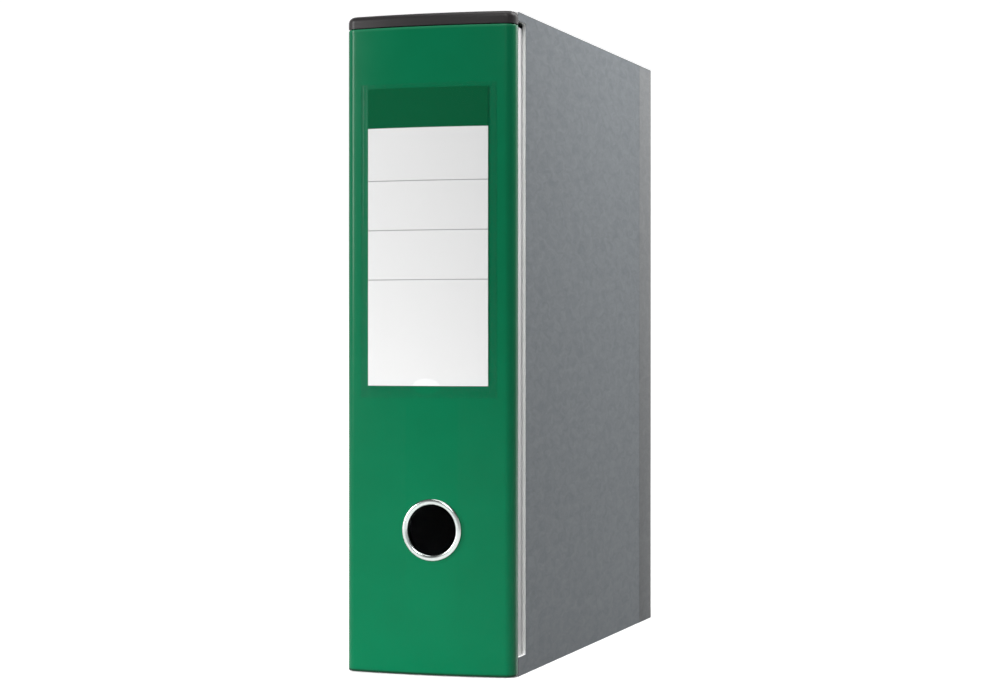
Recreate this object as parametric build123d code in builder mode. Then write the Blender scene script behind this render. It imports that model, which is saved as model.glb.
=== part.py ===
"""Lever arch file in an open-fronted slipcase, standing upright.

Millimetres.  +Z up, the spine faces -Y, and the origin is at the middle of the footprint on the
surface that it stands on.  The slipcase stays put, the file slides out of it towards -Y, and inside
the file the lever swings out (+X) from the back cover and tips the two arches open.
"""
import os
from math import sqrt

from build123d import *

os.makedirs("parts", exist_ok=True)

# ---- overall sizes ----
HEIGHT = 350.0
WIDTH = 94.0
DEPTH = 302.0              # front of the finger ring to the back of the slipcase

# ---- slipcase ----
CASE_PAPER = 0.25
RECESS_DEPTH = 13.8        # how far the side panels are cut back between their tabs
TOP_TAB = 4.7
BOTTOM_TAB = 10.0
RECESS_CORNER = 1.2
HOOD_HEIGHT = 6.6
HOOD_PLATE = 1.2
HOOD_WALL = 1.6
HOOD_ROUND = 3.2

# ---- spine ----
SPINE_REACH = 11.8         # crown of the spine in front of the slipcase
SPINE_BOW = 4.0            # crown of the spine in front of its two edges
SPINE_CORNER = 6.0
SPINE_BOARD = 2.0
SPINE_FOIL = 0.25
TURN_IN = 15.0             # foil folded over the top and bottom edges of the spine board
SPINE_LINING = 0.2

# ---- covers ----
COVER_BOARD = 2.0
COVER_PAPER = 0.2
COVER_LINING = 0.2
HINGE_CLOTH = 0.35
HINGE_GROOVE = 1.4         # bare hinge between the spine's return and the cover board
HINGE_ON_COVER = 8.0
HINGE_ON_SPINE = 14.0

# ---- clearances ----
SIDE_CLEARANCE = 0.2       # cover to slipcase wall, each side
FILE_CLEARANCE = 0.4       # spine to hood, spine to slipcase edge and cover to slipcase floor
BACK_CLEARANCE = 1.4       # cover edge to the slipcase's back
CARD_CLEARANCE = 0.28
RUNNING_CLEARANCE = 0.08
HOLE_CLEARANCE = 0.05
COMPRESSOR_CLEARANCE = 0.3
HEADROOM = 3.2             # lever and arches to the front cover, at their highest

# ---- finger ring ----
RING_BELOW_POCKET = 69.7   # its centre under the label pocket
RING_OFFSET = 2.8          # its centre beside the middle, towards the front cover
RING_OUTER_RADIUS = 16.5
RING_BORE_RADIUS = 13.3
RING_WALL = 0.8
RING_PROUD = 1.2
RING_TAIL = 2.4            # sleeve left inside the spine, under the washer
WASHER_THICKNESS = 0.8

# ---- label pocket and card ----
CARD_WIDTH = 67.0
CARD_HEIGHT = 157.5
CARD_THICKNESS = 0.3
CARD_BELOW_TOP = 39.5      # head of the card below the top of the hood
POCKET_WIDTH = 76.0
POCKET_SEAM = 1.5
POCKET_SILL = 6.0
POCKET_FILM = 0.2
POCKET_ABOVE_CARD = 2.4
THUMB_CUT_HALF_WIDTH = 7.6
THUMB_CUT_HALF_HEIGHT = 4.2

# ---- base plate, posts and arches ----
PLATE = 1.0
PLATE_HALF_LENGTH = 62.0
PLATE_MARGIN = 8.0
PLATE_CORNER = 6.0
POST_SETBACK = 63.0        # posts behind the slipcase's front edge
POST_PITCH = 80.0          # two-hole filing, ISO 838
POST_RADIUS = 2.3
POST_HEIGHT = 42.0
POST_COLLAR_RADIUS = 4.5
POST_COLLAR = 2.0
TIP_GAP = 0.3              # arch tip above its post, closed
WIRE_RADIUS = 2.0
WIRE_LIFT = 2.85           # arch pivot above the base plate
ARCH_SPAN = 45.0           # arch pivot to post
ARCH_BEND = 22.0
ARCH_FOOT_BEND = 3.5
CRANK_OFFSET = 9.0         # crank of the arch wire beside its pivot line
CRANK_BEND = 2.5
CRANK_LOW = 4.0            # ends of the crank above the middle of the plate
CRANK_HIGH = 23.0
CRANK_RAMP = 4.0
BEARING_WIDTH = 5.0
BEARING_WALL = 1.2
BEARING_FOOT = 8.5
BEARING_HEIGHTS = (-27.5, 32.5)

# ---- rivets ----
RIVET_RADIUS = 1.6
RIVET_HEAD_RADIUS = 3.4
RIVET_HEAD = 1.1
RIVET_TAIL = 0.5
RIVET_HALF_PITCH = 55.0

# ---- lever ----
LEVER_ABOVE_MIDDLE = 20.0  # lever pivot above the middle of the plate
LEVER_HALF_WIDTH = 5.4
LEVER_SHEET = 1.2
LEVER_HUB_RADIUS = 5.0
LEVER_WEB_RISE = 4.6       # back of the channel outside the pivot
LEVER_KICK = 5.0           # how far the finger end stands off
CHEEK_LENGTH = 34.0
PIN_RADIUS = 2.0
PIN_HEAD_RADIUS = 3.2
PIN_HEAD = 1.0
ROLLER_ARM = 8.0
ROLLER_RADIUS = 3.5
ROLLER_RIM_RADIUS = 4.4
ROLLER_HALF_WIDTH = 3.9
ROLLER_PIN_RADIUS = 1.5
ROLLER_LUG_RADIUS = 3.0
ROLLER_GAP = 0.4
EAR_GAP = 0.8
EAR_SHEET = 1.2
EAR_FOOT = 5.0
EAR_LOW = 9.0              # foot of each ear above the middle of the plate
EAR_HIGH = 21.5
GRIP_LENGTH = 19.0
GRIP_HALF_WIDTH = 6.0
GRIP_THICKNESS = 5.0

# ---- leaf spring ----
SPRING_THICKNESS = 0.4
SPRING_WIDTH = 6.0
SPRING_LOW = -18.0
SPRING_HIGH = 14.0
SPRING_RIVET_RADIUS = 2.2
SPRING_RIVET = 0.9

# ---- compressor bar ----
BAR_THICKNESS = 1.6
BAR_HALF_LENGTH = 50.0
BAR_SPINE_SIDE = 9.0       # bar past the posts, towards the spine and towards the sheets
BAR_SHEET_SIDE = 15.0
BAR_CORNER = 5.0
BAR_LIP = 2.4
CLAMP_LENGTH = 26.0
CLAMP_WIDTH = 14.0
CLAMP_HEIGHT = 4.0

# ---- planes and faces that the sizes above give ----
y_back = DEPTH / 2
y_crown = -DEPTH / 2 + RING_PROUD
y_case = y_crown + SPINE_REACH
y_spine_edge = y_crown + SPINE_BOW
y_spine_rear = y_case - FILE_CLEARANCE
case_depth = y_back - y_case
half_width = WIDTH / 2
spine_wall = SPINE_FOIL + SPINE_BOARD
x_cover = half_width - spine_wall
x_case_board = half_width - CASE_PAPER
x_case_inside = x_cover + SIDE_CLEARANCE
case_board = x_case_board - x_case_inside
y_case_inside = y_back - CASE_PAPER - case_board
z_floor = CASE_PAPER + case_board
z_roof_board = HEIGHT - HOOD_PLATE - case_board
z_hood = HEIGHT - HOOD_HEIGHT

x_cover_board = x_cover - COVER_PAPER
x_cover_lining = x_cover_board - COVER_BOARD
x_inside = x_cover_lining - COVER_LINING
y_cover_board = y_spine_rear + HINGE_GROOVE
y_cover_paper = y_spine_rear - HINGE_GROOVE
y_cover_rear = y_case_inside - BACK_CLEARANCE
z_spine = FILE_CLEARANCE
z_cover = z_floor + FILE_CLEARANCE
z_top = z_hood - FILE_CLEARANCE
z_middle = (z_cover + z_top) / 2

spine_inside = spine_wall + SPINE_LINING
z_card_top = HEIGHT - CARD_BELOW_TOP
z_card = z_card_top - CARD_HEIGHT
z_sill = z_card - CARD_CLEARANCE
z_pocket = z_sill - POCKET_SILL
z_ring = z_pocket - RING_BELOW_POCKET
film_inside = 2 * CARD_CLEARANCE + CARD_THICKNESS

x_plate = -x_inside + PLATE
x_wire = x_plate + WIRE_LIFT
y_post = y_case + POST_SETBACK
y_pivot = y_post - ARCH_SPAN
y_crank = y_pivot + CRANK_OFFSET
arch_room = x_inside - HEADROOM - x_wire
arch_leg = sqrt((arch_room - ARCH_BEND - WIRE_RADIUS) ** 2 - (ARCH_SPAN / 2) ** 2)
x_arch_top = x_wire + arch_leg + ARCH_BEND
x_post_top = x_plate + POST_HEIGHT
arch_heights = [z_middle - POST_PITCH / 2, z_middle + POST_PITCH / 2]

x_roller = x_wire + WIRE_RADIUS + ROLLER_GAP + ROLLER_RADIUS
x_lever = x_roller + ROLLER_ARM
z_lever = z_middle + LEVER_ABOVE_MIDDLE
lever_reach = x_inside - HEADROOM - x_lever
half_ears = LEVER_HALF_WIDTH + EAR_GAP


def save(builder, name):
    """Name a finished piece and write it."""
    builder.part.label = name
    export_step(builder.part, f"parts/{name}.step")


def block(x_range, y_range, z_range, mode=Mode.ADD):
    """Add or cut a box between three pairs of limits."""
    sizes = [high - low for low, high in (x_range, y_range, z_range)]
    middle = [(low + high) / 2 for low, high in (x_range, y_range, z_range)]
    with Locations(tuple(middle)):
        Box(*sizes, mode=mode)


# =============================== slipcase ===============================

def cut_recess():
    """Cut both side walls back between the top and bottom tabs."""
    z_low, z_high = BOTTOM_TAB, HEIGHT - TOP_TAB
    with BuildSketch(Plane.YZ.offset(-WIDTH)) as recess:
        with Locations((y_case, (z_low + z_high) / 2)):
            RectangleRounded(2 * RECESS_DEPTH, z_high - z_low, RECESS_CORNER)
    extrude(recess.sketch, amount=2 * WIDTH, mode=Mode.SUBTRACT)


def case_side(x_low, name):
    """One side board of the slipcase, cut back between its tabs."""
    with BuildPart() as side:
        block((x_low, x_low + case_board), (y_case, y_back - CASE_PAPER), (CASE_PAPER, HEIGHT))
        cut_recess()
    save(side, name)


case_side(-x_case_board, "case_side_left")
case_side(x_case_inside, "case_side_right")

with BuildPart() as case_back:
    block((-x_case_inside, x_case_inside), (y_case_inside, y_back - CASE_PAPER), (CASE_PAPER, HEIGHT))
save(case_back, "case_back")

with BuildPart() as case_bottom:
    block((-x_case_inside, x_case_inside), (y_case, y_case_inside), (CASE_PAPER, z_floor))
save(case_bottom, "case_bottom")

with BuildPart() as case_top:
    block((-x_case_inside, x_case_inside), (y_case, y_case_inside),
          (z_roof_board, z_roof_board + case_board))
save(case_top, "case_top")

# one sheet of paper round both sides and the back
with BuildPart() as case_paper:
    block((-half_width, half_width), (y_case, y_back), (0, HEIGHT))
    block((-x_case_board, x_case_board), (y_case, y_back - CASE_PAPER), (0, HEIGHT), Mode.SUBTRACT)
    cut_recess()
save(case_paper, "case_paper")

with BuildPart() as base_paper:
    block((-x_case_board, x_case_board), (y_case, y_back - CASE_PAPER), (0, CASE_PAPER))
save(base_paper, "base_paper")


# =============================== spine ===============================

def spine_section(inset, rear):
    """Plan of all that lies inside the spine's outer face moved in by inset, back to rear."""
    with BuildSketch(mode=Mode.PRIVATE) as plan:
        with BuildLine():
            ThreePointArc((-half_width, y_spine_edge), (0, y_crown), (half_width, y_spine_edge))
            Polyline((half_width, y_spine_edge), (half_width, 0), (-half_width, 0),
                     (-half_width, y_spine_edge))
        make_face()
        fillet(plan.vertices().group_by(Axis.Y)[0], SPINE_CORNER)
        if inset:
            offset(amount=-inset, mode=Mode.REPLACE)
        with Locations((0, rear)):
            Rectangle(2 * WIDTH, DEPTH, align=(Align.CENTER, Align.MIN), mode=Mode.SUBTRACT)
    return plan.sketch


def spine_layer(outer, inner, x_range, z_range, mode=Mode.ADD):
    """Add or cut a layer that follows the spine between two insets, x_range wide."""
    x_low, x_high = x_range
    with BuildSketch(Plane.XY.offset(z_range[0])) as layer:
        add(spine_section(outer, y_spine_rear))
        add(spine_section(inner, y_case), mode=Mode.SUBTRACT)
        with Locations(((x_low + x_high) / 2, y_case)):
            Rectangle(x_high - x_low, DEPTH, mode=Mode.INTERSECT)
    extrude(layer.sketch, amount=z_range[1] - z_range[0], mode=mode)


def ring_hole(radius=RING_BORE_RADIUS + RING_WALL + HOLE_CLEARANCE, reach=SPINE_REACH + RING_PROUD):
    """Cut a hole on the finger ring's axis from inside the spine; as it stands, right through."""
    with BuildSketch(Plane.XZ.offset(-y_case)) as hole:
        with Locations((RING_OFFSET, z_ring)):
            Circle(radius)
    extrude(hole.sketch, amount=reach, mode=Mode.SUBTRACT)


# formed board with a bowed front and rounded corners
with BuildPart() as spine_board:
    with BuildSketch(Plane.XY.offset(z_spine + SPINE_FOIL)):
        add(spine_section(SPINE_FOIL, y_spine_rear - SPINE_FOIL))
        add(spine_section(spine_wall, y_case), mode=Mode.SUBTRACT)
    extrude(amount=z_top - z_spine - 2 * SPINE_FOIL)
    ring_hole()
save(spine_board, "spine_board")

# coloured foil over the board, folded in at the top and bottom
with BuildPart() as spine_foil:
    with BuildSketch(Plane.XY.offset(z_spine)):
        add(spine_section(0, y_spine_rear))
        add(spine_section(spine_wall + SPINE_FOIL, y_case), mode=Mode.SUBTRACT)
    extrude(amount=z_top - z_spine)
    with BuildSketch(Plane.XY.offset(z_spine + SPINE_FOIL)):
        add(spine_section(SPINE_FOIL, y_spine_rear - SPINE_FOIL))
        add(spine_section(spine_wall, y_case), mode=Mode.SUBTRACT)
    extrude(amount=z_top - z_spine - 2 * SPINE_FOIL, mode=Mode.SUBTRACT)
    with BuildSketch(Plane.XY.offset(z_spine + TURN_IN)):
        add(spine_section(spine_wall, y_case))
    extrude(amount=z_top - z_spine - 2 * TURN_IN, mode=Mode.SUBTRACT)
    block((-x_cover, x_cover), (y_cover_paper, 0), (0, HEIGHT), Mode.SUBTRACT)
    ring_hole()
    # the turn-in stops short of the ring's washer
    ring_hole(RING_OUTER_RADIUS + HOLE_CLEARANCE, SPINE_REACH - spine_wall / 2)
save(spine_foil, "spine_foil")

with BuildPart() as spine_lining:
    spine_layer(spine_wall, spine_inside, (-x_inside, x_inside), (z_spine + TURN_IN, z_top - TURN_IN))
    ring_hole()
save(spine_lining, "spine_lining")

# moulded hood: a hollow nose over the spine and a plate along the top of the slipcase
with BuildPart() as top_hood:
    with BuildSketch(Plane.XY.offset(z_hood)):
        add(spine_section(0, y_case))
    extrude(amount=HOOD_HEIGHT)
    fillet(top_hood.edges().group_by(Axis.Z)[-1].sort_by(Axis.Y)[:-1], HOOD_ROUND)
    with BuildSketch(Plane.XY.offset(z_hood)):
        add(spine_section(HOOD_WALL, y_case - HOOD_WALL))
    extrude(amount=HOOD_HEIGHT - HOOD_WALL - HOOD_PLATE, mode=Mode.SUBTRACT)
    block((-x_case_inside, x_case_inside), (y_case - HOOD_WALL, y_case_inside),
          (HEIGHT - HOOD_PLATE, HEIGHT))
save(top_hood, "top_hood")

# =============================== finger ring ===============================

with BuildPart() as finger_ring:
    ring_front = y_crown - RING_PROUD
    flange = RING_PROUD + SPINE_BOW / 4
    ring_axis = Axis((RING_OFFSET, 0, z_ring), (0, 1, 0))
    with BuildSketch(Plane.YZ.offset(RING_OFFSET)):
        with Locations((ring_front, z_ring + RING_BORE_RADIUS)):
            Rectangle(flange, RING_OUTER_RADIUS - RING_BORE_RADIUS, align=(Align.MIN, Align.MIN))
    revolve(axis=ring_axis)
    fillet(finger_ring.faces().sort_by(Axis.Y)[0].edges(), RING_PROUD * 0.8)
    with BuildSketch(Plane.XY):
        add(spine_section(0, y_case))
    extrude(amount=HEIGHT, mode=Mode.SUBTRACT)
    with BuildSketch(Plane.YZ.offset(RING_OFFSET)):
        with Locations((y_crown - RING_PROUD * 0.2, z_ring + RING_BORE_RADIUS)):
            Rectangle(spine_inside + RING_TAIL, RING_WALL, align=(Align.MIN, Align.MIN))
    revolve(axis=ring_axis)
save(finger_ring, "finger_ring")

# thin ring clinched over the sleeve inside the spine
with BuildPart() as ring_washer:
    with BuildSketch(Plane.XZ.offset(-y_case)):
        with Locations((RING_OFFSET, z_ring)):
            Circle(RING_OUTER_RADIUS)
            Circle(RING_BORE_RADIUS + RING_WALL + HOLE_CLEARANCE, mode=Mode.SUBTRACT)
    extrude(amount=SPINE_REACH)
    with BuildSketch(Plane.XY):
        add(spine_section(spine_inside, y_case))
        add(spine_section(spine_inside + WASHER_THICKNESS, y_case), mode=Mode.SUBTRACT)
    extrude(amount=HEIGHT, mode=Mode.INTERSECT)
save(ring_washer, "ring_washer")

# =============================== label pocket and card ===============================

# clear film welded to the spine along its sides and its sill, open at the top
with BuildPart() as label_pocket:
    half_pocket = POCKET_WIDTH / 2
    half_slot = half_pocket - POCKET_SEAM
    spine_layer(-film_inside - POCKET_FILM, 0, (-half_pocket, half_pocket),
                (z_pocket, z_card_top + POCKET_ABOVE_CARD))
    spine_layer(-film_inside, 0, (-half_slot, half_slot), (z_sill, HEIGHT), Mode.SUBTRACT)
    with BuildSketch(Plane.XZ.offset(-y_case)):
        with Locations((0, z_card - CARD_CLEARANCE)):
            Ellipse(THUMB_CUT_HALF_WIDTH, THUMB_CUT_HALF_HEIGHT)
    extrude(amount=DEPTH, mode=Mode.SUBTRACT)
save(label_pocket, "label_pocket")

with BuildPart() as label_card:
    spine_layer(-CARD_CLEARANCE - CARD_THICKNESS, -CARD_CLEARANCE, (-CARD_WIDTH / 2, CARD_WIDTH / 2),
                (z_card, z_card_top))
save(label_card, "label_card")

# =============================== covers ===============================

rivet_points = [(y, z_middle + side * RIVET_HALF_PITCH)
                for y in (y_pivot, y_post) for side in (-1, 1)]


def bore_along_x(points, radius, x_low, x_high, mode=Mode.SUBTRACT):
    """Round bars or holes along X at (y, z) points."""
    with BuildSketch(Plane.YZ.offset(x_low)) as ends:
        with Locations(*points):
            Circle(radius)
    extrude(ends.sketch, amount=x_high - x_low, mode=mode)


def mirrored(side, low, high):
    """Limits along X of a layer on the +X (1) or -X (-1) cover."""
    return (low, high) if side > 0 else (-high, -low)


def cover(side, name):
    """Board, outer paper and lining of one cover; the back cover has the rivet holes."""
    is_back = side < 0
    with BuildPart() as board:
        block(mirrored(side, x_cover_lining, x_cover_board), (y_cover_board, y_cover_rear - COVER_PAPER),
              (z_cover + COVER_PAPER, z_top - COVER_PAPER))
        if is_back:
            bore_along_x(rivet_points, RIVET_RADIUS + HOLE_CLEARANCE, -x_cover, 0)
            bore_along_x(rivet_points, RIVET_HEAD_RADIUS + HOLE_CLEARANCE, -x_cover,
                         -x_cover_board + RIVET_TAIL)
    save(board, f"{name}_board")
    with BuildPart() as paper:
        block(mirrored(side, x_cover_lining, x_cover), (y_cover_paper, y_cover_rear), (z_cover, z_top))
        block(mirrored(side, 0, x_cover_board), (-DEPTH, y_cover_rear - COVER_PAPER),
              (z_cover + COVER_PAPER, z_top - COVER_PAPER), Mode.SUBTRACT)
        block(mirrored(side, 0, x_cover_board), (-DEPTH, y_cover_board), (0, HEIGHT), Mode.SUBTRACT)
    save(paper, f"{name}_paper")
    with BuildPart() as lining:
        block(mirrored(side, x_inside, x_cover_lining), (y_cover_board, y_cover_rear), (z_cover, z_top))
        if is_back:
            bore_along_x(rivet_points, RIVET_RADIUS + HOLE_CLEARANCE, -x_cover, 0)
    save(lining, f"{name}_lining")


def hinge(side, name):
    """Cloth hinge glued inside the corner between the spine and one cover."""
    x_leg = x_inside - HINGE_CLOTH
    with BuildPart() as strip:
        spine_layer(spine_inside, spine_inside + HINGE_CLOTH,
                    mirrored(side, x_inside - HINGE_ON_SPINE, x_inside), (z_spine + TURN_IN, z_top - TURN_IN))
        with BuildSketch(Plane.XY.offset(z_spine + TURN_IN)):
            add(spine_section(spine_inside, y_cover_board + HINGE_ON_COVER))
            with Locations((side * (x_leg + HINGE_CLOTH / 2), 0)):
                Rectangle(HINGE_CLOTH, WIDTH + DEPTH, mode=Mode.INTERSECT)
        extrude(amount=z_top - z_spine - 2 * TURN_IN)
    save(strip, name)


cover(1, "front_cover")
cover(-1, "back_cover")
hinge(1, "front_hinge")
hinge(-1, "back_hinge")

# =============================== filing mechanism ===============================

with BuildPart() as base_plate:
    plate_length = 2 * PLATE_HALF_LENGTH
    plate_width = ARCH_SPAN + 2 * PLATE_MARGIN
    with BuildSketch(Plane.YZ.offset(-x_inside)):
        with Locations(((y_pivot + y_post) / 2, z_middle)):
            RectangleRounded(plate_width, plate_length, PLATE_CORNER)
    extrude(amount=PLATE)
    bore_along_x(rivet_points, RIVET_RADIUS + HOLE_CLEARANCE, -x_cover, 0)
save(base_plate, "base_plate")

# tubular rivets: domed head on the plate, flat tail sunk in the board
with BuildPart() as rivets:
    bore_along_x(rivet_points, RIVET_RADIUS, -x_cover_board, x_plate, Mode.ADD)
    bore_along_x(rivet_points, RIVET_HEAD_RADIUS, -x_cover_board, -x_cover_board + RIVET_TAIL, Mode.ADD)
    bore_along_x(rivet_points, RIVET_HEAD_RADIUS, x_plate, x_plate + RIVET_HEAD, Mode.ADD)
    for head in rivets.faces().group_by(Axis.X)[-1]:
        fillet(head.edges(), RIVET_HEAD * 0.9)
save(rivets, "rivets")

post_points = [(y_post, z) for z in arch_heights]
with BuildPart() as posts:
    bore_along_x(post_points, POST_RADIUS, x_plate, x_post_top, Mode.ADD)
    bore_along_x(post_points, POST_COLLAR_RADIUS, x_plate, x_plate + POST_COLLAR, Mode.ADD)
save(posts, "posts")

# one wire: down from each arch tip, over the bend, to the pivot line and round the crank
with BuildPart() as arch_wire:
    z_low, z_high = arch_heights
    x_tip = x_post_top + TIP_GAP
    crank_low, crank_high = z_middle + CRANK_LOW, z_middle + CRANK_HIGH
    with BuildLine() as wire_path:
        FilletPolyline(
            (x_tip, y_post, z_high), (x_arch_top, y_post, z_high), (x_arch_top, y_pivot, z_high),
            (x_wire, y_pivot, z_high), (x_wire, y_pivot, crank_high + CRANK_RAMP),
            (x_wire, y_crank, crank_high), (x_wire, y_crank, crank_low),
            (x_wire, y_pivot, crank_low - CRANK_RAMP), (x_wire, y_pivot, z_low),
            (x_arch_top, y_pivot, z_low), (x_arch_top, y_post, z_low), (x_tip, y_post, z_low),
            radius=[ARCH_BEND, ARCH_BEND, ARCH_FOOT_BEND, CRANK_BEND, CRANK_BEND,
                    CRANK_BEND, CRANK_BEND, ARCH_FOOT_BEND, ARCH_BEND, ARCH_BEND])
    with BuildSketch(Plane((x_tip, y_post, z_high), z_dir=(1, 0, 0))):
        Circle(WIRE_RADIUS)
    sweep()
save(arch_wire, "arch_wire")

# two pressed saddles that hold the wire on its pivot line
with BuildPart() as arch_bearings:
    for height in BEARING_HEIGHTS:
        with BuildSketch(Plane.XY.offset(z_middle + height - BEARING_WIDTH / 2)):
            with Locations((x_wire, y_pivot)):
                Circle(WIRE_RADIUS + RUNNING_CLEARANCE + BEARING_WALL)
            with Locations((x_plate, y_pivot)):
                Rectangle(WIRE_LIFT, 2 * (WIRE_RADIUS + RUNNING_CLEARANCE + BEARING_WALL),
                          align=(Align.MIN, Align.CENTER))
                Rectangle(BEARING_WALL, 2 * BEARING_FOOT, align=(Align.MIN, Align.CENTER))
            with Locations((x_wire, y_pivot)):
                Circle(WIRE_RADIUS + RUNNING_CLEARANCE, mode=Mode.SUBTRACT)
            with Locations((x_plate, y_pivot)):
                Rectangle(WIDTH, WIDTH, align=(Align.MAX, Align.CENTER), mode=Mode.SUBTRACT)
        extrude(amount=BEARING_WIDTH)
save(arch_bearings, "arch_bearings")

with BuildPart() as leaf_spring:
    block((x_plate, x_plate + SPRING_THICKNESS),
          (y_crank - SPRING_WIDTH / 2, y_crank + SPRING_WIDTH / 2),
          (z_middle + SPRING_LOW, z_middle + SPRING_HIGH))
    spring_end = [(y_crank, z_middle + SPRING_LOW + SPRING_WIDTH / 2)]
    bore_along_x(spring_end, SPRING_RIVET_RADIUS, x_plate, x_plate + SPRING_RIVET, Mode.ADD)
save(leaf_spring, "leaf_spring")


def ear(side):
    """One upright ear of the lever bracket with its foot; side is -1 or 1 along Y."""
    y_near = y_crank + side * half_ears
    y_far = y_near + side * EAR_SHEET
    y_foot = y_far + side * EAR_FOOT
    z_low, z_high = z_middle + EAR_LOW, z_middle + EAR_HIGH
    with BuildSketch(Plane.XZ.offset(-max(y_near, y_far))) as outline:
        with BuildLine():
            Polyline((x_plate, z_low), (x_plate, z_high),
                     (x_lever, z_lever + LEVER_HUB_RADIUS), (x_lever, z_lever - LEVER_HUB_RADIUS), close=True)
        make_face()
        with Locations((x_lever, z_lever)):
            Circle(LEVER_HUB_RADIUS)
            Circle(PIN_RADIUS, mode=Mode.SUBTRACT)
    extrude(outline.sketch, amount=EAR_SHEET)
    block((x_plate, x_plate + EAR_SHEET), (min(y_near, y_foot), max(y_near, y_foot)), (z_low, z_high))


with BuildPart() as lever_bracket:
    ear(-1)
    ear(1)
save(lever_bracket, "lever_bracket")


def bar_along_y(x, z, radius, half_length, middle=y_crank, mode=Mode.ADD):
    """A round bar or hole along Y, centred on the lever unless middle says otherwise."""
    with BuildSketch(Plane.XZ.offset(-middle - half_length)) as end:
        with Locations((x, z)):
            Circle(radius)
    extrude(end.sketch, amount=2 * half_length, mode=mode)


with BuildPart() as lever_pin:
    half_pin = half_ears + EAR_SHEET
    bar_along_y(x_lever, z_lever, PIN_RADIUS, half_pin)
    for side in (-1, 1):
        y_head = y_crank + side * (half_pin + PIN_HEAD / 2)
        bar_along_y(x_lever, z_lever, PIN_HEAD_RADIUS, PIN_HEAD / 2, y_head)
save(lever_pin, "lever_pin")

# =============================== lever ===============================

z_lever_tip = z_lever - lever_reach
z_web_end = z_lever_tip + GRIP_LENGTH / 4
x_web = x_lever + LEVER_WEB_RISE
z_kick = z_lever - CHEEK_LENGTH


def lever_back(inset):
    """Outline points down the back of the lever, moved towards the plate by inset."""
    return [(x_web - inset, z_lever + LEVER_HUB_RADIUS), (x_web - inset, z_kick),
            (x_web + LEVER_KICK - inset, z_web_end)]


# pressed channel: two cheeks round the pins, and a back that runs out to the finger end
with BuildPart() as lever_arm:
    for y_cheek in (y_crank - LEVER_HALF_WIDTH, y_crank + LEVER_HALF_WIDTH - LEVER_SHEET):
        with BuildSketch(Plane.XZ.offset(-y_cheek - LEVER_SHEET)):
            with BuildLine():
                Polyline((x_web, z_lever + LEVER_HUB_RADIUS), (x_lever, z_lever + LEVER_HUB_RADIUS),
                         (x_lever - LEVER_HUB_RADIUS, z_lever), (x_lever, z_lever - LEVER_HUB_RADIUS),
                         (x_web - LEVER_SHEET, z_kick), (x_web, z_kick), close=True)
            make_face()
            with Locations((x_lever, z_lever)):
                Circle(LEVER_HUB_RADIUS)
            with Locations(((x_roller + x_lever) / 2, z_lever)):
                Rectangle(ROLLER_ARM, 2 * ROLLER_LUG_RADIUS)
            with Locations((x_roller, z_lever)):
                Circle(ROLLER_LUG_RADIUS)
        extrude(amount=LEVER_SHEET)
    with BuildSketch(Plane.XZ.offset(-y_crank - LEVER_HALF_WIDTH)):
        with BuildLine():
            Polyline(*lever_back(0), *reversed(lever_back(LEVER_SHEET)), close=True)
        make_face()
    extrude(amount=2 * LEVER_HALF_WIDTH)
    bar_along_y(x_lever, z_lever, PIN_RADIUS + RUNNING_CLEARANCE, LEVER_HALF_WIDTH, mode=Mode.SUBTRACT)
    bar_along_y(x_roller, z_lever, ROLLER_PIN_RADIUS, LEVER_HALF_WIDTH, mode=Mode.SUBTRACT)
save(lever_arm, "lever_arm")

with BuildPart() as roller_pin:
    bar_along_y(x_roller, z_lever, ROLLER_PIN_RADIUS, LEVER_HALF_WIDTH)
save(roller_pin, "roller_pin")

# waisted steel roller that rides on the crank of the arch wire
with BuildPart() as roller:
    with BuildSketch(Plane.XY.offset(z_lever)):
        with BuildLine():
            rim, bore = ROLLER_RIM_RADIUS, ROLLER_PIN_RADIUS + RUNNING_CLEARANCE
            y_low, y_high = y_crank - ROLLER_HALF_WIDTH, y_crank + ROLLER_HALF_WIDTH
            ThreePointArc((x_roller + rim, y_low), (x_roller + ROLLER_RADIUS, y_crank),
                          (x_roller + rim, y_high))
            Polyline((x_roller + rim, y_high), (x_roller + bore, y_high), (x_roller + bore, y_low),
                     (x_roller + rim, y_low))
        make_face()
    revolve(axis=Axis((x_roller, 0, z_lever), (0, 1, 0)))
save(roller, "roller")

# moulded finger grip over the end of the arm
with BuildPart() as lever_grip:
    x_grip = x_web + LEVER_KICK - GRIP_THICKNESS / 2 - LEVER_SHEET / 2
    with BuildSketch(Plane.YZ.offset(x_grip)):
        with Locations((y_crank, z_lever_tip + GRIP_LENGTH / 2)):
            RectangleRounded(2 * GRIP_HALF_WIDTH, GRIP_LENGTH, GRIP_HALF_WIDTH * 0.8)
    extrude(amount=GRIP_THICKNESS)
    fillet(lever_grip.faces().sort_by(Axis.X)[-1].edges(), GRIP_THICKNESS * 0.35)
    add(lever_arm.part, mode=Mode.SUBTRACT)
save(lever_grip, "lever_grip")

# =============================== compressor bar ===============================

x_bar = x_plate + POST_COLLAR + COMPRESSOR_CLEARANCE
y_bar = (y_post - BAR_SPINE_SIDE, y_post + BAR_SHEET_SIDE)
with BuildPart() as compressor_bar:
    with BuildSketch(Plane.YZ.offset(x_bar)):
        with Locations((sum(y_bar) / 2, z_middle)):
            RectangleRounded(y_bar[1] - y_bar[0], 2 * BAR_HALF_LENGTH, BAR_CORNER)
    extrude(amount=BAR_THICKNESS)
    bore_along_x(post_points, POST_RADIUS + COMPRESSOR_CLEARANCE, x_bar, x_bar + BAR_THICKNESS)
    block((x_bar + BAR_THICKNESS, x_bar + BAR_THICKNESS + BAR_LIP), (y_bar[1] - BAR_THICKNESS, y_bar[1]),
          (z_middle - BAR_HALF_LENGTH + BAR_CORNER, z_middle + BAR_HALF_LENGTH - BAR_CORNER))
save(compressor_bar, "compressor_bar")

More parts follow.
